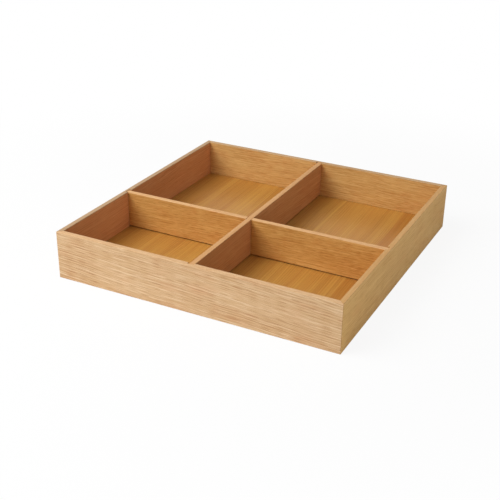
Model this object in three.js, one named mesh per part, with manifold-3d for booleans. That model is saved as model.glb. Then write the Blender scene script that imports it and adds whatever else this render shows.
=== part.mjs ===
// Low oak tray with four compartments. Four mitred walls hold a bottom panel in a groove, and two loose
// dividers cross in a halving joint and drop into housings that are open at the rim.
// Millimetres, +Z up. The origin is the centre of the underside, +X is the right side and -Y is the front.

import * as THREE from 'three';
import { mergeVertices } from 'three/addons/utils/BufferGeometryUtils.js';
import Module from 'manifold-3d';

// Walls
const TRAY_WIDTH = 300; // outside, left to right
const TRAY_DEPTH = 300; // outside, front to back
const TRAY_HEIGHT = 50; // from the walls' lower edges to the rim
const WALL_THICKNESS = 5.5;
const ARRIS_RADIUS = 0.6; // rounding of the boards' edges and of the tray's upright corners
const ARRIS_FLATS = 4; // flats in each quarter turn of that rounding, an even number
const GLUE_LINE = 0.2; // gap between two mitred faces

// Bottom panel
const PANEL_THICKNESS = 4;
const PANEL_RECESS = 6; // panel's underside above the walls' lower edges
const PANEL_GROOVE_DEPTH = 2.5;
const PANEL_HEADROOM = 0.2; // gap over the panel in its groove
const PANEL_EDGE_GAP = 0.4; // room for the panel to swell in its groove

// Dividers
const DIVIDER_THICKNESS = 5.5;
const DIVIDER_DROP = 0.5; // dividers' top edges below the rim
const DIVIDER_LIFT = 1.2; // dividers' lower edges above the panel
const FRONT_BAY_DEPTH = 111; // front wall to cross divider, clear
const HALVING_CLEARANCE = 0.3; // gap at each face of the halving joint

// Housings in the walls for the dividers' ends
const HOUSING_DEPTH = 2.75;
const HOUSING_FIT = 0.2; // gap on the side that the divider is pushed against
const HOUSING_PLAY = 1.3; // gap on the other side
const HOUSING_END_GAP = 0.3; // gap past each end of a divider

// Tongues inside the mitres
const TONGUE_THICKNESS = 1.5;
const TONGUE_COVER = 1.2; // least wood between a tongue's slot and the faces of the wall
const TONGUE_STOP = 4; // wood over the slot, and between it and the panel's groove
const TONGUE_CLEARANCE = 0.15; // gap all round a tongue

const CUT_MARGIN = 1; // how far a cutting box runs past an open side
const QUARTER_TURN = Math.PI / 2;
const DIAGONAL = Math.SQRT2; // length along a mitre for each unit of wall

// Levels and places that follow from the sizes
const FLOOR_LEVEL = PANEL_RECESS + PANEL_THICKNESS;
const GROOVE_TOP = FLOOR_LEVEL + PANEL_HEADROOM;
const LEDGE_LEVEL = FLOOR_LEVEL + DIVIDER_LIFT; // foot of the housings, where the dividers stand
const DIVIDER_TOP = TRAY_HEIGHT - DIVIDER_DROP;
const HALVING_LEVEL = (LEDGE_LEVEL + DIVIDER_TOP) / 2;
const INNER_WIDTH = TRAY_WIDTH - 2 * WALL_THICKNESS;
const INNER_DEPTH = TRAY_DEPTH - 2 * WALL_THICKNESS;
const CROSS_DIVIDER_Y = -INNER_DEPTH / 2 + FRONT_BAY_DEPTH + DIVIDER_THICKNESS / 2;
const CENTRE_DIVIDER_X = 0; // midway between the side walls
const PANEL_REACH = PANEL_GROOVE_DEPTH - PANEL_EDGE_GAP; // panel into each wall
const DIVIDER_REACH = HOUSING_DEPTH - HOUSING_END_GAP; // divider into each wall

// The dividers are pushed to the front and to the right in their wider housings.
const HOUSING_WIDTH = DIVIDER_THICKNESS + HOUSING_FIT + HOUSING_PLAY;
const HOUSING_SHIFT = (HOUSING_PLAY - HOUSING_FIT) / 2;
const CROSS_HOUSING_Y = CROSS_DIVIDER_Y + HOUSING_SHIFT;
const CENTRE_HOUSING_X = CENTRE_DIVIDER_X - HOUSING_SHIFT;

// A tongue lies square across a mitre, as wide as the cover to the wall's faces allows.
const TONGUE_TURN = QUARTER_TURN / 2;
const SLOT_THICKNESS = TONGUE_THICKNESS + 2 * TONGUE_CLEARANCE;
const SLOT_INSET = WALL_THICKNESS - TONGUE_COVER - SLOT_THICKNESS / (2 * DIAGONAL); // from the outer face
const SLOT_WIDTH = 2 * (SLOT_INSET - TONGUE_COVER) * DIAGONAL - SLOT_THICKNESS;
const SLOT_BOTTOM = GROOVE_TOP + TONGUE_STOP;
const SLOT_HEIGHT = TRAY_HEIGHT - TONGUE_STOP - SLOT_BOTTOM;
const SLOT_MIDDLE = SLOT_BOTTOM + SLOT_HEIGHT / 2;

// Finishes: planed oak, and the paler wood of the hidden tongues
const OAK_WALL = '#d3a673';
const OAK_FLOOR = '#c68d4c';
const OAK_DIVIDER = '#cb9a62';
const TONGUE_WOOD = '#c9a27a';
const WOOD_ROUGHNESS = 0.55;

const wasm = await Module();
wasm.setup();

// Turns a closed geometry into a solid that can be cut.
function toSolid(geometry) {
  geometry.deleteAttribute('normal');
  geometry.deleteAttribute('uv');
  const merged = mergeVertices(geometry);
  const vertProperties = new Float32Array(merged.attributes.position.array);
  const triVerts = new Uint32Array(merged.index.array);
  return new wasm.Manifold(new wasm.Mesh({ numProp: 3, vertProperties, triVerts }));
}

// Turns a cut solid back into a geometry with flat faces.
function toGeometry(solid) {
  const { vertProperties, triVerts } = solid.getMesh();
  const geometry = new THREE.BufferGeometry();
  geometry.setAttribute('position', new THREE.BufferAttribute(vertProperties, 3));
  geometry.setIndex(new THREE.BufferAttribute(triVerts, 1));
  const flat = geometry.toNonIndexed();
  flat.computeVertexNormals();
  return flat;
}

function point(x, y, z) {
  return new THREE.Vector3(x, y, z);
}

// Box from its low corner to its high corner.
function boxBetween(low, high) {
  const size = high.clone().sub(low);
  const middle = low.clone().add(high).multiplyScalar(0.5);
  return new THREE.BoxGeometry(size.x, size.y, size.z).translate(middle.x, middle.y, middle.z);
}

// Extrudes an outline. An arc gets twice as many flats as curveSegments says.
function extrude(outline, depth) {
  const options = { depth, bevelEnabled: false, curveSegments: ARRIS_FLATS / 2 };
  return new THREE.ExtrudeGeometry(outline, options);
}

// Extrudes a section drawn in Y and Z along X, with its middle at x = 0.
function extrudeAlongX(section, length) {
  const alongX = new THREE.Matrix4().makeBasis(point(0, 1, 0), point(0, 0, 1), point(1, 0, 0));
  return extrude(section, length).applyMatrix4(alongX).translate(-length / 2, 0, 0);
}

// Section of a board from (left, low) to (right, high) with rounded arrises. The points of rightSide,
// such as those of a groove, are drawn on the way up its right side.
function boardSection(left, right, low, high, rightSide = []) {
  const r = ARRIS_RADIUS;
  const section = new THREE.Shape();
  section.moveTo(left + r, low);
  section.lineTo(right - r, low);
  section.absarc(right - r, low + r, r, -QUARTER_TURN, 0);
  rightSide.forEach(([y, z]) => section.lineTo(y, z));
  section.lineTo(right, high - r);
  section.absarc(right - r, high - r, r, 0, QUARTER_TURN);
  section.lineTo(left + r, high);
  section.absarc(left + r, high - r, r, QUARTER_TURN, 2 * QUARTER_TURN);
  section.lineTo(left, low + r);
  section.absarc(left + r, low + r, r, 2 * QUARTER_TURN, 3 * QUARTER_TURN);
  return section;
}

// Outline of a wall from above, before its mitres: the outer face lies on y = 0 and ends in round corners.
function roundedPlan(length) {
  const r = ARRIS_RADIUS;
  const end = length / 2;
  const plan = new THREE.Shape();
  plan.moveTo(-end + r, 0);
  plan.lineTo(end - r, 0);
  plan.absarc(end - r, r, r, -QUARTER_TURN, 0);
  plan.lineTo(end, WALL_THICKNESS);
  plan.lineTo(-end, WALL_THICKNESS);
  plan.lineTo(-end, r);
  plan.absarc(-end + r, r, r, 2 * QUARTER_TURN, 3 * QUARTER_TURN);
  return plan;
}

// Outline between the mitres of a wall, each set back by half a glue line.
function mitredPlan(length) {
  const end = length / 2 - GLUE_LINE / DIAGONAL;
  const plan = new THREE.Shape();
  plan.moveTo(-end, 0);
  plan.lineTo(end, 0);
  plan.lineTo(end - WALL_THICKNESS, WALL_THICKNESS);
  plan.lineTo(-end + WALL_THICKNESS, WALL_THICKNESS);
  return plan;
}

// Slot for half a tongue in the mitre at the left (-1) or right (1) end of a wall.
function tongueSlot(length, side) {
  const slot = new THREE.BoxGeometry(SLOT_WIDTH, SLOT_THICKNESS, SLOT_HEIGHT);
  slot.rotateZ(side * TONGUE_TURN);
  slot.translate(side * (length / 2 - SLOT_INSET), SLOT_INSET, SLOT_MIDDLE);
  return toSolid(slot);
}

// Wall along X with its outer face on y = 0, and the middle of its housing at housingX.
function wallGeometry(length, housingX) {
  const inside = WALL_THICKNESS;
  const groove = [
    [inside, PANEL_RECESS],
    [inside - PANEL_GROOVE_DEPTH, PANEL_RECESS],
    [inside - PANEL_GROOVE_DEPTH, GROOVE_TOP],
    [inside, GROOVE_TOP],
  ];
  const housing = boxBetween(
    point(housingX - HOUSING_WIDTH / 2, inside - HOUSING_DEPTH, LEDGE_LEVEL),
    point(housingX + HOUSING_WIDTH / 2, inside + CUT_MARGIN, TRAY_HEIGHT + CUT_MARGIN),
  );
  const wall = toSolid(extrudeAlongX(boardSection(0, inside, 0, TRAY_HEIGHT, groove), length))
    .intersect(toSolid(extrude(roundedPlan(length), TRAY_HEIGHT)))
    .intersect(toSolid(extrude(mitredPlan(length), TRAY_HEIGHT)))
    .subtract(toSolid(housing))
    .subtract(tongueSlot(length, -1))
    .subtract(tongueSlot(length, 1));
  return toGeometry(wall);
}

// Divider along X, with a halving slot that is centred on slotX and runs from slotLow to slotHigh.
function dividerGeometry(length, slotX, slotLow, slotHigh) {
  const half = DIVIDER_THICKNESS / 2;
  const halfSlot = half + HALVING_CLEARANCE;
  const board = toSolid(extrudeAlongX(boardSection(-half, half, LEDGE_LEVEL, DIVIDER_TOP), length));
  const slot = boxBetween(
    point(slotX - halfSlot, -half - CUT_MARGIN, slotLow),
    point(slotX + halfSlot, half + CUT_MARGIN, slotHigh),
  );
  return toGeometry(board.subtract(toSolid(slot)));
}

const tray = new THREE.Group();

function addPiece(name, geometry, color) {
  const material = new THREE.MeshStandardMaterial({ color, roughness: WOOD_ROUGHNESS, metalness: 0 });
  const piece = new THREE.Mesh(geometry, material);
  piece.name = name;
  tray.add(piece);
  return piece;
}

// Walls, made facing the front and turned to their sides
const walls = [
  { name: 'front_wall', length: TRAY_WIDTH, housing: CENTRE_HOUSING_X, at: [0, -TRAY_DEPTH / 2] },
  { name: 'right_wall', length: TRAY_DEPTH, housing: CROSS_HOUSING_Y, at: [TRAY_WIDTH / 2, 0] },
  { name: 'back_wall', length: TRAY_WIDTH, housing: -CENTRE_HOUSING_X, at: [0, TRAY_DEPTH / 2] },
  { name: 'left_wall', length: TRAY_DEPTH, housing: -CROSS_HOUSING_Y, at: [-TRAY_WIDTH / 2, 0] },
];
walls.forEach(({ name, length, housing, at }, turns) => {
  const wall = addPiece(name, wallGeometry(length, housing), OAK_WALL);
  wall.position.set(...at, 0);
  wall.rotation.z = turns * QUARTER_TURN;
});

// Tongues in the four mitres
for (const [sideY, nameY] of [[-1, 'front'], [1, 'back']]) {
  for (const [sideX, nameX] of [[-1, 'left'], [1, 'right']]) {
    const width = SLOT_WIDTH - 2 * TONGUE_CLEARANCE;
    const height = SLOT_HEIGHT - 2 * TONGUE_CLEARANCE;
    const geometry = new THREE.BoxGeometry(width, TONGUE_THICKNESS, height);
    const tongue = addPiece(`corner_tongue_${nameY}_${nameX}`, geometry, TONGUE_WOOD);
    const x = sideX * (TRAY_WIDTH / 2 - SLOT_INSET);
    const y = sideY * (TRAY_DEPTH / 2 - SLOT_INSET);
    tongue.position.set(x, y, SLOT_MIDDLE);
    tongue.rotation.z = -sideX * sideY * TONGUE_TURN;
  }
}

// Bottom panel, lying on the lower side of the walls' grooves
const panelWidth = INNER_WIDTH + 2 * PANEL_REACH;
const panelDepth = INNER_DEPTH + 2 * PANEL_REACH;
const panelGeometry = new THREE.BoxGeometry(panelWidth, panelDepth, PANEL_THICKNESS);
const panel = addPiece('bottom_panel', panelGeometry, OAK_FLOOR);
panel.position.z = PANEL_RECESS + PANEL_THICKNESS / 2;

// Cross divider, left to right, with its halving slot open at the top
const crossLength = INNER_WIDTH + 2 * DIVIDER_REACH;
const crossSlotLow = HALVING_LEVEL - HALVING_CLEARANCE / 2;
const crossSlotHigh = DIVIDER_TOP + CUT_MARGIN;
const crossGeometry = dividerGeometry(crossLength, CENTRE_DIVIDER_X, crossSlotLow, crossSlotHigh);
const crossDivider = addPiece('cross_divider', crossGeometry, OAK_DIVIDER);
crossDivider.position.y = CROSS_DIVIDER_Y;

// Centre divider, front to back, with its halving slot open at the bottom
const centreLength = INNER_DEPTH + 2 * DIVIDER_REACH;
const centreSlotLow = LEDGE_LEVEL - CUT_MARGIN;
const centreSlotHigh = HALVING_LEVEL + HALVING_CLEARANCE / 2;
const centreGeometry = dividerGeometry(centreLength, CROSS_DIVIDER_Y, centreSlotLow, centreSlotHigh);
const centreDivider = addPiece('centre_divider', centreGeometry, OAK_DIVIDER);
centreDivider.position.x = CENTRE_DIVIDER_X;
centreDivider.rotation.z = QUARTER_TURN;

export default tray;
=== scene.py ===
"""Low oak tray with four compartments: mitred walls, a grooved-in panel and two loose crossing dividers.

Metres, +Z up. The origin is the centre of the tray's underside, +X is its right side and -Y is its front.
"""
import logging
import math
from collections.abc import Callable
from dataclasses import dataclass
from enum import Enum
from typing import Any, ClassVar, Union

import bmesh
import bpy
from mathutils import Matrix, Vector


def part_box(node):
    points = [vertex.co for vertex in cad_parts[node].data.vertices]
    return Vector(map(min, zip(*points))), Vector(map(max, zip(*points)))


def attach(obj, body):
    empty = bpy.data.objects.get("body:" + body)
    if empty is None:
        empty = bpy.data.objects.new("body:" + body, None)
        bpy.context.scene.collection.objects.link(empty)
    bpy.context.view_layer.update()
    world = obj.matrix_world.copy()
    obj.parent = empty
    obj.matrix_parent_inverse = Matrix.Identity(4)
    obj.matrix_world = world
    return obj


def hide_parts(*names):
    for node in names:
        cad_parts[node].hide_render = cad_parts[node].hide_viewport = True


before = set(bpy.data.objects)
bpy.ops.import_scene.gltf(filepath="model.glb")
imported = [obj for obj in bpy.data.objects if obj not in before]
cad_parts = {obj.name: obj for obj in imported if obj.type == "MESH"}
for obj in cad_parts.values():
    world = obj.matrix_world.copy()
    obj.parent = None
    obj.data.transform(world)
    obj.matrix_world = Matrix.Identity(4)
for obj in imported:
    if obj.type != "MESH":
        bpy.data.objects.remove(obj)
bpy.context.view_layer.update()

LOG = logging.getLogger("tray")
MM = 0.001
FULL = 1.0
QUARTER_TURN = math.pi / 2
DIAGONAL = math.sqrt(2)  # of a square with sides of one
UP = Vector((0, 0, 1))
TURN_ROWS = 3  # of a matrix that turns
PLACE_ROWS = 4  # of a matrix that turns and moves

CUT_MARGIN = 1 * MM  # how far a cutter reaches past the piece
NEAR = 0.5 * MM  # less than any length that a test on edges looks for
FACING = 0.5  # part of a face's normal along a direction, above which the face looks that way
ROUND_PROFILE = 0.5  # bevel profile that gives an arc
EASE_FLATS = 2  # flats across an eased edge
EASED_ANGLE = math.radians(50)  # edges that turn by more are eased
SMOOTH_ANGLE = math.radians(35)  # edges that turn by less are shaded smoothly

NOISE_ROUGHNESS = 0.55  # strength of each finer layer of a noise, next to the layer before
NOISE_MIDDLE = 0.5

# Sockets of the Mix node, which has one pair of inputs for each kind of data
MIX_FACTOR = 0
MIX_COLOUR_A = 6
MIX_COLOUR_B = 7
MIX_COLOUR_RESULT = 2

Point = tuple[float, float, float]
Corners = tuple[Vector, Vector]
Stops = tuple[tuple[float, float], ...]
PairTest = Callable[[Vector, Vector], bool]
Number = Union["Value", float]


class Side(Enum):
    """Side of the tray that a wall stands on. The value is the wall's quarter turns from the front."""

    FRONT = 0
    RIGHT = 1
    BACK = 2
    LEFT = 3

    @property
    def turn(self) -> float:
        """Angle from the front wall to this one."""
        return self.value * QUARTER_TURN

    @property
    def label(self) -> str:
        """Name of the side in small letters."""
        return self.name.lower()

    @property
    def node(self) -> str:
        """Name of the side's CAD node."""
        return f"{self.label}_wall"


class End(Enum):
    """End of the front wall, as seen from the front. The value is its direction along X."""

    LEFT = -1
    RIGHT = 1


# Modelling


def linear(code: str) -> tuple[float, float, float, float]:
    """Turns a colour code into the linear colour that a shader takes.

    Args:
        code: Red, green and blue as six hexadecimal digits, as on a screen.

    Returns:
        Linear red, green and blue, and an alpha of one.
    """
    knee, slope, offset, power, brightest = 0.04045, 12.92, 0.055, 2.4, 255
    shares = [byte / brightest for byte in bytes.fromhex(code)]
    red, green, blue = (c / slope if c <= knee else ((c + offset) / (1 + offset)) ** power for c in shares)
    return red, green, blue, FULL


def select_only(piece: bpy.types.Object) -> None:
    """Makes one object the only selected one, and the active one.

    Args:
        piece: Object that the next operators act on.
    """
    bpy.ops.object.select_all(action="DESELECT")
    piece.select_set(True)
    bpy.context.view_layer.objects.active = piece


def open_mesh(piece: bpy.types.Object) -> None:
    """Selects one object alone and opens its mesh for editing."""
    select_only(piece)
    bpy.ops.object.mode_set(mode="EDIT")


def add_board(name: str, low: Vector, high: Vector) -> bpy.types.Object:
    """Adds a square-edged board, with its place in its mesh.

    Args:
        name: Name of the object and of its mesh.
        low: Lowest corner.
        high: Highest corner.

    Returns:
        The board, alone selected.
    """
    bpy.ops.object.select_all(action="DESELECT")
    bpy.ops.mesh.primitive_cube_add(size=FULL, location=(low + high) / 2, scale=high - low)
    bpy.ops.object.transform_apply(location=True, rotation=True, scale=True)
    board = bpy.context.active_object
    board.name = name
    board.data.name = name
    return board


def copy_piece(piece: bpy.types.Object, name: str) -> bpy.types.Object:
    """Copies an object together with its mesh.

    Args:
        piece: Object to copy.
        name: Name of the copy and of its mesh.

    Returns:
        The copy.
    """
    copy = piece.copy()
    copy.data = piece.data.copy()
    copy.name = name
    copy.data.name = name
    bpy.context.scene.collection.objects.link(copy)
    return copy


def turn_piece(piece: bpy.types.Object, turn: float) -> None:
    """Turns a piece about the upright through the origin, and puts the turn in its mesh.

    Args:
        piece: Object to turn.
        turn: Angle, anticlockwise from above.
    """
    select_only(piece)
    piece.rotation_euler.z = turn
    bpy.ops.object.transform_apply(location=False, rotation=True, scale=False)


def round_edges(piece: bpy.types.Object, chosen: PairTest, radius: float, flats: int) -> None:
    """Rounds the edges that a test picks out.

    Args:
        piece: Object to shape.
        chosen: Test on the two ends of an edge.
        radius: Radius of the rounding.
        flats: Flats across the rounding.
    """
    open_mesh(piece)
    bpy.ops.mesh.select_mode(type="EDGE")
    bpy.ops.mesh.select_all(action="DESELECT")
    mesh = bmesh.from_edit_mesh(piece.data)
    for edge in mesh.edges:
        edge.select_set(chosen(edge.verts[0].co, edge.verts[1].co))
    bmesh.update_edit_mesh(piece.data)
    bpy.ops.mesh.bevel(
        offset=radius,
        segments=flats,
        profile=ROUND_PROFILE,
        affect="EDGES",
        clamp_overlap=False,
    )
    bpy.ops.object.mode_set(mode="OBJECT")


def sink_faces(piece: bpy.types.Object, chosen: PairTest, move: Vector) -> None:
    """Extrudes the faces that a test picks out, which sinks a groove when they move inward.

    Args:
        piece: Object to shape.
        chosen: Test on the middle and the normal of a face.
        move: How far the faces move.
    """
    open_mesh(piece)
    bpy.ops.mesh.select_mode(type="FACE")
    bpy.ops.mesh.select_all(action="DESELECT")
    mesh = bmesh.from_edit_mesh(piece.data)
    for face in mesh.faces:
        face.select_set(chosen(face.calc_center_median(), face.normal))
    bmesh.update_edit_mesh(piece.data)
    bpy.ops.mesh.extrude_region_move(TRANSFORM_OT_translate={"value": move})
    bpy.ops.object.mode_set(mode="OBJECT")


def saw(piece: bpy.types.Object, at: Vector, normal: Vector, drop: bool) -> None:
    """Cuts new edges where a plane crosses a piece, and may take one side off.

    Args:
        piece: Object to shape.
        at: Point on the plane.
        normal: Direction square to the plane.
        drop: Whether the side that the normal points to is dropped and the cut closed.
    """
    open_mesh(piece)
    bpy.ops.mesh.select_all(action="SELECT")
    bpy.ops.mesh.bisect(plane_co=at, plane_no=normal, use_fill=drop, clear_outer=drop)
    bpy.ops.object.mode_set(mode="OBJECT")


def cut_away(piece: bpy.types.Object, cutter: bpy.types.Object) -> None:
    """Cuts the shape of another object out of a piece, and removes that object.

    Args:
        piece: Object to shape.
        cutter: Closed shape to cut with.
    """
    cut = piece.modifiers.new("cut", "BOOLEAN")
    cut.operation = "DIFFERENCE"
    cut.solver = "EXACT"
    cut.object = cutter
    select_only(piece)
    bpy.ops.object.modifier_apply(modifier=cut.name)
    bpy.data.objects.remove(cutter)


def ease_and_smooth(piece: bpy.types.Object, ease: float) -> None:
    """Eases the sharp edges that the saw left, and shades the rounded ones smoothly.

    Args:
        piece: Object to finish.
        ease: Width of the eased edge.
    """
    bevel = piece.modifiers.new("ease", "BEVEL")
    bevel.width = ease
    bevel.segments = EASE_FLATS
    bevel.limit_method = "ANGLE"
    bevel.angle_limit = EASED_ANGLE
    select_only(piece)
    bpy.ops.object.modifier_apply(modifier=bevel.name)
    bpy.ops.object.shade_smooth_by_angle(angle=SMOOTH_ANGLE)
    weighted = piece.modifiers.new("flat faces", "WEIGHTED_NORMAL")
    weighted.keep_sharp = True
    bpy.ops.object.modifier_apply(modifier=weighted.name)


# Shading


class Value:
    """A shader value that Python's arithmetic works on."""

    def __init__(self, sheet: "Sheet", socket: bpy.types.NodeSocket) -> None:
        """Keeps the socket, and the sheet that its sums go on."""
        self.sheet = sheet
        self.socket = socket

    def __add__(self, other: Number) -> "Value":
        """Sum of two values."""
        return self.sheet.sum("ADD", self, other)

    def __radd__(self, other: Number) -> "Value":
        """Sum with a number first."""
        return self.sheet.sum("ADD", other, self)

    def __sub__(self, other: Number) -> "Value":
        """Difference of two values."""
        return self.sheet.sum("SUBTRACT", self, other)

    def __rsub__(self, other: Number) -> "Value":
        """Difference with a number first."""
        return self.sheet.sum("SUBTRACT", other, self)

    def __mul__(self, other: Number) -> "Value":
        """Product of two values."""
        return self.sheet.sum("MULTIPLY", self, other)

    def __rmul__(self, other: Number) -> "Value":
        """Product with a number first."""
        return self.sheet.sum("MULTIPLY", other, self)

    def __truediv__(self, other: Number) -> "Value":
        """Quotient of two values."""
        return self.sheet.sum("DIVIDE", self, other)

    def floor(self) -> "Value":
        """Whole number at or below this value."""
        return self.sheet.sum("FLOOR", self, 0.0)


class Sheet:
    """Node sheet of one material or of the world."""

    def __init__(self, tree: bpy.types.NodeTree) -> None:
        """Clears the tree that the nodes go on."""
        self.tree = tree
        tree.nodes.clear()

    def node(self, kind: str, settings: dict[str, Any], sockets: dict[int | str, Any]) -> bpy.types.Node:
        """Adds a node.

        Args:
            kind: Type of the node.
            settings: Its properties, set first. The key stops holds a ramp's places and levels.
            sockets: Values or links of its inputs, by name or number.

        Returns:
            The node.
        """
        node = self.tree.nodes.new(kind)
        for key, setting in settings.items():
            if key == "stops":
                self._set_stops(node.color_ramp, setting)
            else:
                setattr(node, key, setting)
        for key, given in sockets.items():
            source = given.socket if isinstance(given, Value) else given
            if isinstance(source, bpy.types.NodeSocket):
                self.tree.links.new(source, node.inputs[key])
            else:
                node.inputs[key].default_value = source
        return node

    @staticmethod
    def _set_stops(ramp: bpy.types.ColorRamp, stops: Stops) -> None:
        """Gives a ramp its stops.

        Args:
            ramp: Ramp with its two first stops.
            stops: Place and grey level of each stop, from the left.
        """
        while len(ramp.elements) < len(stops):
            ramp.elements.new(FULL)
        for element, (place, level) in zip(ramp.elements, stops):
            element.position = place
            element.color = (level, level, level, FULL)

    def sum(self, operation: str, first: Number, second: Number) -> Value:
        """Works out an operation of the Math node on two values."""
        node = self.node("ShaderNodeMath", {"operation": operation}, {0: first, 1: second})
        return Value(self, node.outputs[0])

    def mix(self, share: Number, first: Any, second: Any) -> bpy.types.NodeSocket:
        """Mixes two colours.

        Args:
            share: Share of the second colour.
            first: First colour, or a link to it.
            second: Second colour, or a link to it.

        Returns:
            Link to the mixed colour.
        """
        settings = {"data_type": "RGBA", "clamp_factor": True}
        sockets = {MIX_FACTOR: share, MIX_COLOUR_A: first, MIX_COLOUR_B: second}
        return self.node("ShaderNodeMix", settings, sockets).outputs[MIX_COLOUR_RESULT]

    def multiply(self, first: bpy.types.NodeSocket, second: bpy.types.NodeSocket) -> bpy.types.NodeSocket:
        """Multiplies two colours.

        Args:
            first: Link to a colour.
            second: Link to the colour that multiplies it.

        Returns:
            Link to the product.
        """
        settings = {"data_type": "RGBA", "blend_type": "MULTIPLY"}
        sockets = {MIX_FACTOR: FULL, MIX_COLOUR_A: first, MIX_COLOUR_B: second}
        return self.node("ShaderNodeMix", settings, sockets).outputs[MIX_COLOUR_RESULT]

    def split(self, place: bpy.types.NodeSocket) -> tuple[Value, Value, Value]:
        """Takes coordinates apart."""
        outputs = self.node("ShaderNodeSeparateXYZ", {}, {0: place}).outputs
        return Value(self, outputs[0]), Value(self, outputs[1]), Value(self, outputs[2])

    def join(self, first: Number, second: Number, third: Number) -> bpy.types.NodeSocket:
        """Puts coordinates together."""
        return self.node("ShaderNodeCombineXYZ", {}, {0: first, 1: second, 2: third}).outputs[0]

    def noise(self, place: bpy.types.NodeSocket, per_metre: Point, detail: float, seed: float) -> Value:
        """Adds a stretched noise.

        Args:
            place: Link to the coordinates.
            per_metre: Waves to the metre along each axis.
            detail: Finer layers on top of the first.
            seed: Number that sets one noise apart from another.

        Returns:
            Noise from zero to one, mostly near a half.
        """
        scaled = self.node("ShaderNodeVectorMath", {"operation": "MULTIPLY"}, {0: place, 1: per_metre})
        sockets = {
            "Vector": scaled.outputs[0],
            "W": seed,
            "Scale": FULL,
            "Detail": detail,
            "Roughness": NOISE_ROUGHNESS,
        }
        node = self.node("ShaderNodeTexNoise", {"noise_dimensions": "4D"}, sockets)
        return Value(self, node.outputs["Fac"])

    def draw_lots(self, number: Value) -> Value:
        """Gives each whole number its own value from zero to one."""
        node = self.node("ShaderNodeTexWhiteNoise", {"noise_dimensions": "1D"}, {"W": number})
        return Value(self, node.outputs["Value"])

    def rise(self, value: Value, low: float, high: float) -> Value:
        """Rises smoothly from zero to one.

        Args:
            value: Value to look at.
            low: Where the rise starts.
            high: Where the rise ends.

        Returns:
            Zero below low, one above high.
        """
        settings = {"interpolation_type": "SMOOTHSTEP"}
        node = self.node("ShaderNodeMapRange", settings, {"Value": value, "From Min": low, "From Max": high})
        return Value(self, node.outputs["Result"])

    def ramp(self, value: Value, stops: Stops) -> Value:
        """Reads a value from zero to one off a curve of straight stretches between stops."""
        node = self.node("ShaderNodeValToRGB", {"stops": stops}, {"Fac": value})
        return Value(self, node.outputs["Color"])


@dataclass(frozen=True)
class GrainFrame:
    """Directions of a board along the grain, through the thickness and across the face, from a point."""

    along: Point
    through: Point
    across: Point
    origin: Point

    @classmethod
    def turned(cls, turn: float, origin: Vector) -> "GrainFrame":
        """Frame of an upright board.

        Args:
            turn: Angle from a board that runs left to right.
            origin: Point of the board where the pattern starts.

        Returns:
            The frame.
        """
        along = (round(math.cos(turn)), round(math.sin(turn)), 0.0)
        through = (-round(math.sin(turn)), round(math.cos(turn)), 0.0)
        return cls(along, through, tuple(UP), tuple(origin))

    def place(self, sheet: Sheet) -> bpy.types.NodeSocket:
        """Turns Object coordinates into this frame.

        Args:
            sheet: Sheet that the nodes go on.

        Returns:
            Link to the coordinates along, through and across the board.
        """
        turn = Matrix((self.along, self.through, self.across))
        shift = -(turn @ Vector(self.origin))
        coordinates = sheet.node("ShaderNodeTexCoord", {}, {})
        sockets = {"Vector": coordinates.outputs["Object"], "Location": shift, "Rotation": turn.to_euler()}
        return sheet.node("ShaderNodeMapping", {"vector_type": "POINT"}, sockets).outputs["Vector"]


@dataclass(frozen=True)
class FacePlan:
    """Where a board's inner face and top edge begin, in its grain frame. A metre is out of reach."""

    inner: float = FULL  # through the thickness
    top: float = FULL  # across the face
    fade: float = 0.7 * MM  # width of the change from one tint to the next

    def inside(self, sheet: Sheet, through: Value) -> Value:
        """Mask of the inner face."""
        return sheet.rise(through, self.inner - self.fade, self.inner)

    def edge(self, sheet: Sheet, across: Value, reach: float) -> Value:
        """Mask of the top edge, which fades out below it over a reach."""
        return sheet.rise(across, self.top - reach, self.top)


@dataclass(frozen=True)
class BoardTint:
    """Colour codes that multiply a board's colours on its outer faces, inner faces and top edge."""

    outside: str
    inside: str
    edge: str

    @classmethod
    def alike(cls, faces: str, edge: str) -> "BoardTint":
        """Tints of a board whose outer and inner faces are alike."""
        return cls(faces, faces, edge)

    def colour(self, sheet: Sheet, inside: Value, edge: Value) -> bpy.types.NodeSocket:
        """Tint of each place, by the masks of the inner face and of the top edge."""
        faces = sheet.mix(inside, linear(self.outside), linear(self.inside))
        return sheet.mix(edge, faces, linear(self.edge))


@dataclass(frozen=True)
class OakTone:
    """Colours of an oak board as colour codes."""

    pale: str
    body: str
    blush: str
    line: str


PLANED_OAK = OakTone(pale="ecd2ac", body="d3ad7f", blush="d7a67d", line="ae7a4b")


@dataclass(frozen=True)
class Figure:
    """How the grain of a board shows."""

    strength: float = FULL  # times the usual contrast
    shortness: float = FULL  # times as many marks along the board as usual
    slope: float = 0.02  # how far the lines run across the face, for each length along it


@dataclass(frozen=True)
class Wave:
    """Waver that bends the grain across the face."""

    along: float  # to the metre
    across: float  # to the metre
    height: float
    seed: float
    detail: float = 2.0

    def offset(self, sheet: Sheet, place: bpy.types.NodeSocket, board: float) -> Value:
        """How far the grain is bent on a board of that seed, about zero on the whole."""
        noise = sheet.noise(place, (self.along, self.across, self.across), self.detail, board + self.seed)
        return (noise - NOISE_MIDDLE) * self.height


@dataclass(frozen=True)
class Streaks:
    """Marks that run with the grain, cut from a stretched noise."""

    along: float  # to the metre
    across: float  # to the metre
    detail: float
    low: float  # noise at which a mark starts
    high: float  # noise at which it is full
    seed: float
    share: float = FULL  # colour that it adds

    def mask(self, sheet: Sheet, place: bpy.types.NodeSocket, board: float, crowd: Number) -> Value:
        """Share of the marks' colour on a board of that seed. They crowd where crowd is high."""
        noise = sheet.noise(place, (self.along, self.across, self.across), self.detail, board + self.seed)
        return sheet.rise(noise + crowd, self.low, self.high) * self.share


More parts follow.
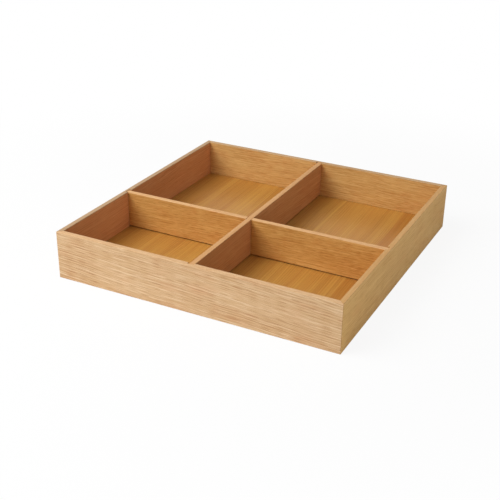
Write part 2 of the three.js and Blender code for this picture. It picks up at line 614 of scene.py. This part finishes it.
@dataclass(frozen=True)
class Strips:
    """Strips of veneer that lie side by side, each in its own shade, with fine joints."""

    width: float
    shade: float  # of the darkest strip
    joint: float  # width
    joint_paleness: float
    seed: float

    def shades(self, sheet: Sheet, across: Value) -> Value:
        """Shade of each strip, from zero to that of the darkest."""
        number = (across / self.width).floor()
        return sheet.draw_lots(number + self.seed) * self.shade

    def joints(self, sheet: Sheet, across: Value) -> Value:
        """Draws the joints, at the start of each strip.

        Args:
            sheet: Sheet that the nodes go on.
            across: Distance across the strips.

        Returns:
            The joints' paleness, zero between them.
        """
        strip = across / self.width
        start = (strip - strip.floor()) * self.width
        return (1 - sheet.rise(start, 0.0, self.joint)) * self.joint_paleness


@dataclass(frozen=True)
class Oak:
    """Planed oak under a thin satin lacquer."""

    tint: BoardTint
    seed: float
    tone: OakTone = PLANED_OAK
    figure: Figure = Figure()
    strips: Strips | None = None
    gloss: float = 0.08
    roughness: float = 0.5
    # Painted highlight: a paler band along the top edge, down to this reach, stands in for light on the
    # rounded arris.
    painted_highlight_reach: float = 0.7 * MM  # how far the paler top edge reaches down

    ring_width: float = 2.5 * MM
    ring_lean: float = 0.4  # through the thickness
    # Earlywood starts sharply at each ring and fades into latewood.
    ring_stops: Stops = ((0.0, 0.9), (0.1, 1.0), (0.45, 0.6), (0.6, 0.1), (0.9, 0.0), (1.0, 0.9))
    weakest_ring: float = 0.1
    ring_evenness: float = 0.4

    bend: Wave = Wave(along=5, across=10, height=13 * MM, seed=0)
    ripple: Wave = Wave(along=28, across=60, height=0.8 * MM, seed=1)
    patches: Streaks = Streaks(along=18, across=50, detail=1.0, low=0.35, high=0.6, seed=2)
    fibres: Streaks = Streaks(along=40, across=3200, detail=2.0, low=0.3, high=0.7, seed=3, share=0.3)
    pores: Streaks = Streaks(along=70, across=3400, detail=0.0, low=0.6, high=0.7, seed=4, share=0.5)
    shades: Streaks = Streaks(along=6, across=22, detail=2.0, low=0.3, high=0.7, seed=5, share=0.4)
    blushes: Streaks = Streaks(along=24, across=60, detail=2.0, low=0.45, high=0.75, seed=6, share=0.7)
    pale_lines: Streaks = Streaks(along=8, across=560, detail=2.0, low=0.52, high=0.66, seed=7)
    dark_lines: Streaks = Streaks(along=10, across=560, detail=2.0, low=0.5, high=0.7, seed=8)
    flecks: Streaks = Streaks(along=45, across=2600, detail=0.0, low=0.55, high=0.67, seed=9, share=0.6)
    fleck_crowd: float = 0.25  # added to the flecks' noise in a pale line
    pore_crowd: float = 0.125  # added to the pores' noise in a dark line or a ring

    # Colour that a mark adds where it is full
    earlywood_share: float = 0.3
    latewood_share: float = 0.18
    dark_share: float = 0.2
    pale_share: float = 0.4
    # Share of pale in the painted highlight along the top edge, which is not a mark of the wood.
    painted_highlight_share: float = 0.35

    bump_strength: float = 0.5
    bump_height: float = 0.05 * MM
    ring_depth: float = 0.3
    pore_roughness: float = 0.2
    fibre_roughness: float = 0.3

    def material(self, name: str, grain: GrainFrame, plan: FacePlan) -> bpy.types.Material:
        """Builds the finish for one board.

        Args:
            name: Name of the material.
            grain: Frame of the board.
            plan: Where its inner face and top edge begin.

        Returns:
            The material.
        """
        material = bpy.data.materials.new(name)
        material.use_nodes = True
        sheet = Sheet(material.node_tree)
        straight = grain.place(sheet)
        along, through, across = sheet.split(straight)
        bent = across + along * self.figure.slope
        for wave in (self.bend, self.ripple):
            bent = bent + wave.offset(sheet, straight, self.seed)
        place = sheet.join(along * self.figure.shortness, through, bent)

        def drawn(marks: Streaks, crowd: Number = 0.0) -> Value:
            """Draws marks with this board's bent grain."""
            return marks.mask(sheet, place, self.seed, crowd)

        ring = self._rings(sheet, drawn(self.patches), bent + through * self.ring_lean)
        dark = drawn(self.dark_lines)
        pale = drawn(self.pale_lines)
        fibre = drawn(self.fibres)
        pore = drawn(self.pores, (dark + ring) * self.pore_crowd)
        grain_layers = (
            (drawn(self.blushes), self.tone.blush),
            ((1 - ring) * self.latewood_share, self.tone.pale),
            (ring * self.earlywood_share, self.tone.line),
            (dark * self.dark_share, self.tone.line),
            (pale * self.pale_share, self.tone.pale),
            (fibre, self.tone.body),
            (drawn(self.flecks, pale * self.fleck_crowd), self.tone.pale),
            (pore, self.tone.line),
        )
        layers = [(drawn(self.shades), self.tone.pale)]
        layers += [(share * self.figure.strength, code) for share, code in grain_layers]
        if self.strips:
            layers.append((self.strips.shades(sheet, across), self.tone.line))
            layers.append((self.strips.joints(sheet, across), self.tone.pale))
        # Painted highlight: the top edge and the face just below it are paled.
        layers.append((plan.edge(sheet, across, self.painted_highlight_reach) * self.painted_highlight_share, self.tone.pale))
        colour = linear(self.tone.body)
        for share, code in layers:
            colour = sheet.mix(share, colour, linear(code))
        tint = self.tint.colour(sheet, plan.inside(sheet, through), plan.edge(sheet, across, plan.fade))

        relief = {
            "Height": fibre - ring * self.ring_depth - pore,
            "Strength": self.bump_strength,
            "Distance": self.bump_height,
        }
        sockets = {
            "Base Color": sheet.multiply(colour, tint),
            "Roughness": self.roughness + self.pore_roughness * pore + self.fibre_roughness * fibre,
            "Specular IOR Level": self.gloss,
            "Normal": sheet.node("ShaderNodeBump", {}, relief).outputs["Normal"],
        }
        shader = sheet.node("ShaderNodeBsdfPrincipled", {}, sockets)
        sheet.node("ShaderNodeOutputMaterial", {}, {"Surface": shader.outputs["BSDF"]})
        return material

    def _rings(self, sheet: Sheet, patches: Value, radius: Value) -> Value:
        """Draws the growth rings, which cut the face in long lines.

        Args:
            sheet: Sheet that the nodes go on.
            patches: Mask of the places where the rings are strong.
            radius: Distance from the heart of the tree.

        Returns:
            One in the porous earlywood of a strong ring, zero in latewood.
        """
        ring = radius / self.ring_width
        number = ring.floor()
        early = sheet.ramp(ring - number, self.ring_stops)
        lot = sheet.draw_lots(number + self.seed)
        strength = (self.ring_evenness + (1 - self.ring_evenness) * lot) * patches
        return early * (self.weakest_ring + (1 - self.weakest_ring) * strength)


# Pieces


def dress(piece: bpy.types.Object, material: bpy.types.Material) -> None:
    """Gives a piece one material all over."""
    piece.data.materials.clear()
    piece.data.materials.append(material)


def hand_over(piece: bpy.types.Object, body: str, node: str) -> bpy.types.Object:
    """Lets a piece stand for a CAD node and move with its body.

    Args:
        piece: Finished piece.
        body: CAD body that it rides on.
        node: CAD node that it stands for.

    Returns:
        The piece.
    """
    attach(piece, body)
    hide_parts(node)
    return piece


@dataclass
class Walls:
    """Four walls with mitred ends, a groove for the panel and a housing for a divider's end."""

    length: float = 300 * MM
    height: float = 50 * MM
    thickness: float = 5.5 * MM
    arris: float = 0.6 * MM
    arris_flats: int = 4
    ease: float = 0.12 * MM
    glue_line: float = 0.2 * MM
    groove_low: float = 6 * MM
    groove_high: float = 10.2 * MM
    groove_depth: float = 2.5 * MM
    housing_foot: float = 11.2 * MM
    housing_depth: float = 2.75 * MM
    housing_width: float = 7 * MM
    centre_housing: float = -0.55 * MM
    cross_housing: float = -30.2 * MM
    slot_thickness: float = 1.8 * MM
    slot_width: float = 5.17 * MM
    slot_inset: float = 3.66 * MM
    slot_low: float = 14.2 * MM
    slot_high: float = 46 * MM
    inner_tint_start: float = 0.8  # share of the thickness

    # These tints carry painted light. The left wall's darker, redder inside paints the shade on that inner
    # face. The right wall's yellower outside paints the colour of the shade on that face. The darker, greyer
    # edge tints paint shade on the top edges. The warmer inside tint of the other walls is partly the wood's
    # own tone and partly painted bounce light from inside the tray.
    FINISHES: ClassVar[dict[Side, Oak]] = {
        Side.FRONT: Oak(
            BoardTint(outside="faf5f1", inside="f6e5b8", edge="ebded2"),
            seed=10.0,
            figure=Figure(strength=1.3, slope=0.05),
        ),
        Side.RIGHT: Oak(
            BoardTint(outside="ffefbd", inside="f6e5b8", edge="e0cbab"),
            seed=20.0,
            figure=Figure(strength=0.6),
            # Painted highlight: the top 6 mm of the right face are paled where more light falls.
            painted_highlight_reach=6 * MM,
        ),
        Side.BACK: Oak(
            BoardTint(outside="faf5f1", inside="f6e5b8", edge="d7cdc2"),
            seed=30.0,
            figure=Figure(strength=0.9, shortness=1.7, slope=0.0),
        ),
        Side.LEFT: Oak(
            BoardTint(outside="faf5f1", inside="f2cbaf", edge="cbc3bf"),
            seed=40.0,
            figure=Figure(strength=0.6),
        ),
    }

    def build(self) -> list[bpy.types.Object]:
        """Makes the four walls.

        Returns:
            The walls, dressed and in place.
        """
        plain = self._plain_wall()
        walls = [self._wall(plain, side) for side in Side]
        bpy.data.objects.remove(plain)
        return walls

    def _plain_wall(self) -> bpy.types.Object:
        """Makes the front wall without its housing, which the four walls share.

        Returns:
            Board with rounded arrises, a panel groove, mitred ends and slots for the tongues.
        """
        half = self.length / 2
        outer, inner = -half, -half + self.thickness
        wall = add_board("plain_wall", Vector((-half, outer, 0)), Vector((half, inner, self.height)))

        def is_arris(first: Vector, second: Vector) -> bool:
            """Tells the long edges, and the upright ones at the tray's corners."""
            is_upright = abs(first.z - second.z) > NEAR
            return abs(first.x - second.x) > NEAR or (is_upright and first.y < outer + NEAR)

        round_edges(wall, is_arris, self.arris, self.arris_flats)

        for level in (self.groove_low, self.groove_high):
            saw(wall, UP * level, UP, drop=False)

        def is_groove(middle: Vector, normal: Vector) -> bool:
            """Tells the strip of the inner face that the groove sinks."""
            return normal.y > FACING and self.groove_low < middle.z < self.groove_high

        sink_faces(wall, is_groove, Vector((0, -self.groove_depth, 0)))

        for end in End:
            tip = Vector((end.value * (half - self.glue_line / DIAGONAL), outer, 0))
            saw(wall, tip, Vector((end.value, 1, 0)).normalized(), drop=True)
            cut_away(wall, self._tongue_cutter(end))
        return wall

    def _tongue_cutter(self, end: End) -> bpy.types.Object:
        """Makes the shape of a tongue's slot at one end of the front wall.

        Args:
            end: End that the slot is in.

        Returns:
            Box that lies square across the mitre.
        """
        half = Vector((self.slot_width / 2, self.slot_thickness / 2, 0))
        cutter = add_board("tongue_cutter", -half + UP * self.slot_low, half + UP * self.slot_high)
        turn_piece(cutter, end.value * QUARTER_TURN / 2)
        corner = self.length / 2 - self.slot_inset
        cutter.location = (end.value * corner, -corner, 0)
        select_only(cutter)
        bpy.ops.object.transform_apply(location=True, rotation=False, scale=False)
        return cutter

    def _wall(self, plain: bpy.types.Object, side: Side) -> bpy.types.Object:
        """Makes one wall from the plain one.

        Args:
            plain: Front wall without its housing.
            side: Side that the wall stands on.

        Returns:
            The wall, dressed and in place.
        """
        housing = {
            Side.FRONT: self.centre_housing,
            Side.RIGHT: self.cross_housing,
            Side.BACK: -self.centre_housing,
            Side.LEFT: -self.cross_housing,
        }[side]
        wall = copy_piece(plain, f"{side.label}_board")
        inner = -self.length / 2 + self.thickness
        half = self.housing_width / 2
        low = Vector((housing - half, inner - self.housing_depth, self.housing_foot))
        high = Vector((housing + half, inner + CUT_MARGIN, self.height + CUT_MARGIN))
        cut_away(wall, add_board("housing_cutter", low, high))
        ease_and_smooth(wall, self.ease)
        turn_piece(wall, side.turn)

        outer = Matrix.Rotation(side.turn, TURN_ROWS, "Z") @ Vector((0, -self.length / 2, 0))
        grain = GrainFrame.turned(side.turn, outer)
        plan = FacePlan(inner=self.thickness * self.inner_tint_start, top=self.height - self.ease)
        dress(wall, self.FINISHES[side].material(f"oak_{side.label}", grain, plan))
        return hand_over(wall, "tray", side.node)


@dataclass
class BottomPanel:
    """Panel of oak strips that lies in the walls' grooves."""

    ease: float = 0.3 * MM
    strips_start: float = -1 * MM
    finish: Oak = Oak(
        BoardTint.alike(faces="d3b46a", edge="d3b46a"),
        seed=70.0,
        figure=Figure(shortness=0.2),
        gloss=0.55,
        roughness=0.36,
        pale_lines=Streaks(along=8, across=150, detail=2.0, low=0.5, high=0.68, seed=7),
        dark_lines=Streaks(along=10, across=150, detail=2.0, low=0.5, high=0.7, seed=8),
        # The seed sets how dark each strip is. The dark strips along the left wall and beside the centre
        # divider partly paint the shadows that these cast on the floor. The other strips' shades are their
        # own tone.
        strips=Strips(width=36 * MM, shade=0.4, joint=2 * MM, joint_paleness=0.3, seed=726.0),
    )

    def build(self) -> list[bpy.types.Object]:
        """Makes the panel.

        Returns:
            The panel, dressed and in place.
        """
        low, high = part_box("bottom_panel")
        panel = add_board("bottom_board", low, high)
        ease_and_smooth(panel, self.ease)
        start = (self.strips_start, 0.0, 0.0)
        grain = GrainFrame((0.0, FULL, 0.0), (0.0, 0.0, FULL), (FULL, 0.0, 0.0), start)
        dress(panel, self.finish.material("oak_bottom", grain, FacePlan()))
        return [hand_over(panel, "tray", "bottom_panel")]


@dataclass
class Dividers:
    """Two boards that cross in a halving joint and stand in the walls' housings."""

    thickness: float = 5.5 * MM
    arris: float = 0.6 * MM
    arris_flats: int = 4
    ease: float = 0.12 * MM
    halving_clearance: float = 0.3 * MM
    halving_level: float = 30.35 * MM
    cross_finish: Oak = Oak(
        BoardTint.alike(faces="f6dba1", edge="f0dbc4"),
        seed=52.0,
        figure=Figure(shortness=2.2, slope=-0.02),
    )
    # Painted shade: the centre divider's darker, pinker tint, on both faces, stands for the shade on its
    # right face. Both dividers' edge tints are darkened as painted shade on their tops.
    centre_finish: Oak = Oak(
        BoardTint.alike(faces="e5c3a6", edge="e5ccb2"),
        seed=60.0,
        figure=Figure(strength=0.6),
    )

    def build(self) -> list[bpy.types.Object]:
        """Makes the divider that runs left to right, slotted from above, and the one across it.

        Returns:
            The dividers, dressed and in place.
        """
        half = self.thickness / 2 + self.halving_clearance
        gap = self.halving_clearance / 2
        low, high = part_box("cross_divider")
        cross_y = (low.y + high.y) / 2
        slot_low = Vector((-half, low.y - CUT_MARGIN, self.halving_level - gap))
        slot_high = Vector((half, high.y + CUT_MARGIN, high.z + CUT_MARGIN))
        cross = self._divider("cross", 0.0, (slot_low, slot_high), self.cross_finish)

        low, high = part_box("centre_divider")
        slot_low = Vector((low.x - CUT_MARGIN, cross_y - half, low.z - CUT_MARGIN))
        slot_high = Vector((high.x + CUT_MARGIN, cross_y + half, self.halving_level + gap))
        centre = self._divider("centre", QUARTER_TURN, (slot_low, slot_high), self.centre_finish)
        return [cross, centre]

    def _divider(self, name: str, turn: float, slot: Corners, finish: Oak) -> bpy.types.Object:
        """Makes one divider.

        Args:
            name: Start of the names of the CAD node and of the piece.
            turn: Angle from a board that runs left to right.
            slot: Lowest and highest corner of its halving slot.
            finish: Finish of the board.

        Returns:
            The divider, dressed and in place.
        """
        node = f"{name}_divider"
        low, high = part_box(node)
        middle = (low + high) / 2
        half_length = max(high - low) / 2
        board = add_board(f"{name}_board", low, high)

        def is_long(first: Vector, second: Vector) -> bool:
            """Tells the two long edges at the top."""
            return (first - second).length > half_length and first.z > middle.z

        round_edges(board, is_long, self.arris, self.arris_flats)
        cut_away(board, add_board("slot_cutter", *slot))
        ease_and_smooth(board, self.ease)
        plan = FacePlan(top=(high.z - low.z) / 2 - self.ease)
        dress(board, finish.material(f"oak_{name}", GrainFrame.turned(turn, middle), plan))
        return hand_over(board, node, node)


@dataclass
class Tongues:
    """Loose tongues inside the mitres, which keep their CAD shape."""

    nodes_start: str = "corner_tongue"
    finish: Oak = Oak(BoardTint.alike(faces="fbf6ee", edge="fbf6ee"), seed=80.0)

    def build(self) -> list[bpy.types.Object]:
        """Dresses the tongues.

        Returns:
            The tongues.
        """
        tongues = [node for name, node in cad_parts.items() if name.startswith(self.nodes_start)]
        grain = GrainFrame.turned(QUARTER_TURN, Vector())
        material = self.finish.material("tongue_grain", grain, FacePlan())
        for tongue in tongues:
            dress(tongue, material)
        return tongues


# Studio


@dataclass(frozen=True)
class Lamp:
    """Soft square lamp that faces the tray."""

    name: str
    place: Point
    size: float
    power: float  # watts

    def add(self) -> None:
        """Adds the lamp to the scene."""
        light = bpy.data.lights.new(self.name, "AREA")
        light.shape = "SQUARE"
        light.size = self.size
        light.energy = self.power
        lamp = bpy.data.objects.new(self.name, light)
        bpy.context.scene.collection.objects.link(lamp)
        lamp.location = self.place
        lamp.rotation_euler = (-Vector(self.place)).to_track_quat("-Z", "Y").to_euler()


@dataclass
class Studio:
    """Pale floor, soft light from the front left and from above, and the camera."""

    floor_size: float = 8.0
    floor_colour: str = "e6e6e6"
    floor_white: float = 0.9  # share of plain white in what is seen of the floor
    shadow_reach: tuple[float, float] = (0.25, 0.6)  # from the tray's middle, where the shadow fades out
    sky: float = 0.2
    sky_colour: str = "ffffff"
    key: Lamp = Lamp("key_lamp", place=(-0.82, -0.73, 1.23), size=1.2, power=29.5)
    fill: Lamp = Lamp("fill_lamp", place=(1.8, -0.6, 0.7), size=1.5, power=7.4)
    top: Lamp = Lamp("top_lamp", place=(0.0, 0.0, 1.5), size=1.0, power=3.0)
    lens: float = 67.5  # millimetres
    azimuth: float = 26.937  # degrees, as the next two are
    elevation: float = 26.279
    roll: float = 0.716
    distance: float = 0.98904
    aside: float = 0.01338
    below: float = 0.00039

    def build(self) -> None:
        """Sets up the floor, the light and the camera."""
        bpy.context.scene.view_settings.view_transform = "Standard"
        self._add_floor()
        self._add_world()
        for lamp in (self.key, self.fill, self.top):
            lamp.add()
        self._add_camera()

    @staticmethod
    def _seen(sheet: Sheet) -> Value:
        """Tells the rays that show the background from those that light the tray.

        Args:
            sheet: Sheet that the nodes go on.

        Returns:
            One for what the camera sees, directly or in a gloss, and zero for light.
        """
        path = sheet.node("ShaderNodeLightPath", {}, {}).outputs
        seen = Value(sheet, path["Is Camera Ray"]) + Value(sheet, path["Is Glossy Ray"])
        return sheet.sum("MINIMUM", seen + Value(sheet, path["Is Transmission Ray"]), FULL)

    def _add_floor(self) -> None:
        """Adds the floor, which looks nearly white and keeps the tray's shadow."""
        bpy.ops.object.select_all(action="DESELECT")
        bpy.ops.mesh.primitive_plane_add(size=self.floor_size)
        floor = bpy.context.active_object
        floor.name = "studio_floor"
        material = bpy.data.materials.new("studio_floor")
        material.use_nodes = True
        sheet = Sheet(material.node_tree)
        matt = sheet.node("ShaderNodeBsdfDiffuse", {}, {"Color": linear(self.floor_colour)})
        white = sheet.node("ShaderNodeEmission", {}, {"Strength": FULL})
        place = sheet.node("ShaderNodeTexCoord", {}, {}).outputs["Object"]
        reach = sheet.node("ShaderNodeVectorMath", {"operation": "LENGTH"}, {0: place}).outputs["Value"]
        beyond = sheet.rise(Value(sheet, reach), *self.shadow_reach)
        share = self._seen(sheet) * (self.floor_white + (1 - self.floor_white) * beyond)
        mixed = sheet.node("ShaderNodeMixShader", {}, {0: share, 1: matt.outputs[0], 2: white.outputs[0]})
        sheet.node("ShaderNodeOutputMaterial", {}, {"Surface": mixed.outputs[0]})
        dress(floor, material)

    def _add_world(self) -> None:
        """Adds the surroundings: white to look at, dim as a light."""
        world = bpy.data.worlds.new("studio")
        world.use_nodes = True
        bpy.context.scene.world = world
        sheet = Sheet(world.node_tree)
        strength = self.sky + self._seen(sheet) * (1 - self.sky)
        sockets = {"Color": linear(self.sky_colour), "Strength": strength}
        background = sheet.node("ShaderNodeBackground", {}, sockets)
        sheet.node("ShaderNodeOutputWorld", {}, {"Surface": background.outputs[0]})

    def _add_camera(self) -> None:
        """Adds the camera where the photograph was taken from."""
        camera = bpy.data.objects.new("camera", bpy.data.cameras.new("camera"))
        camera.data.lens = self.lens
        azimuth, elevation, roll = map(math.radians, (self.azimuth, self.elevation, self.roll))
        turn = Matrix.Rotation(azimuth, PLACE_ROWS, "Z")
        turn = turn @ Matrix.Rotation(QUARTER_TURN - elevation, PLACE_ROWS, "X")
        turn = turn @ Matrix.Rotation(roll, PLACE_ROWS, "Z")
        camera.matrix_world = turn @ Matrix.Translation((-self.aside, self.below, self.distance))
        bpy.context.scene.collection.objects.link(camera)
        bpy.context.scene.camera = camera


def main() -> None:
    """Builds the studio and the tray, and reports each piece."""
    logging.basicConfig(level=logging.INFO, format="%(name)s: %(message)s")
    Studio().build()
    for assembly in (Walls(), BottomPanel(), Dividers(), Tongues()):
        for piece in assembly.build():
            LOG.info("%s has %d faces", piece.name, len(piece.data.polygons))


if __name__ == "__main__":
    main()
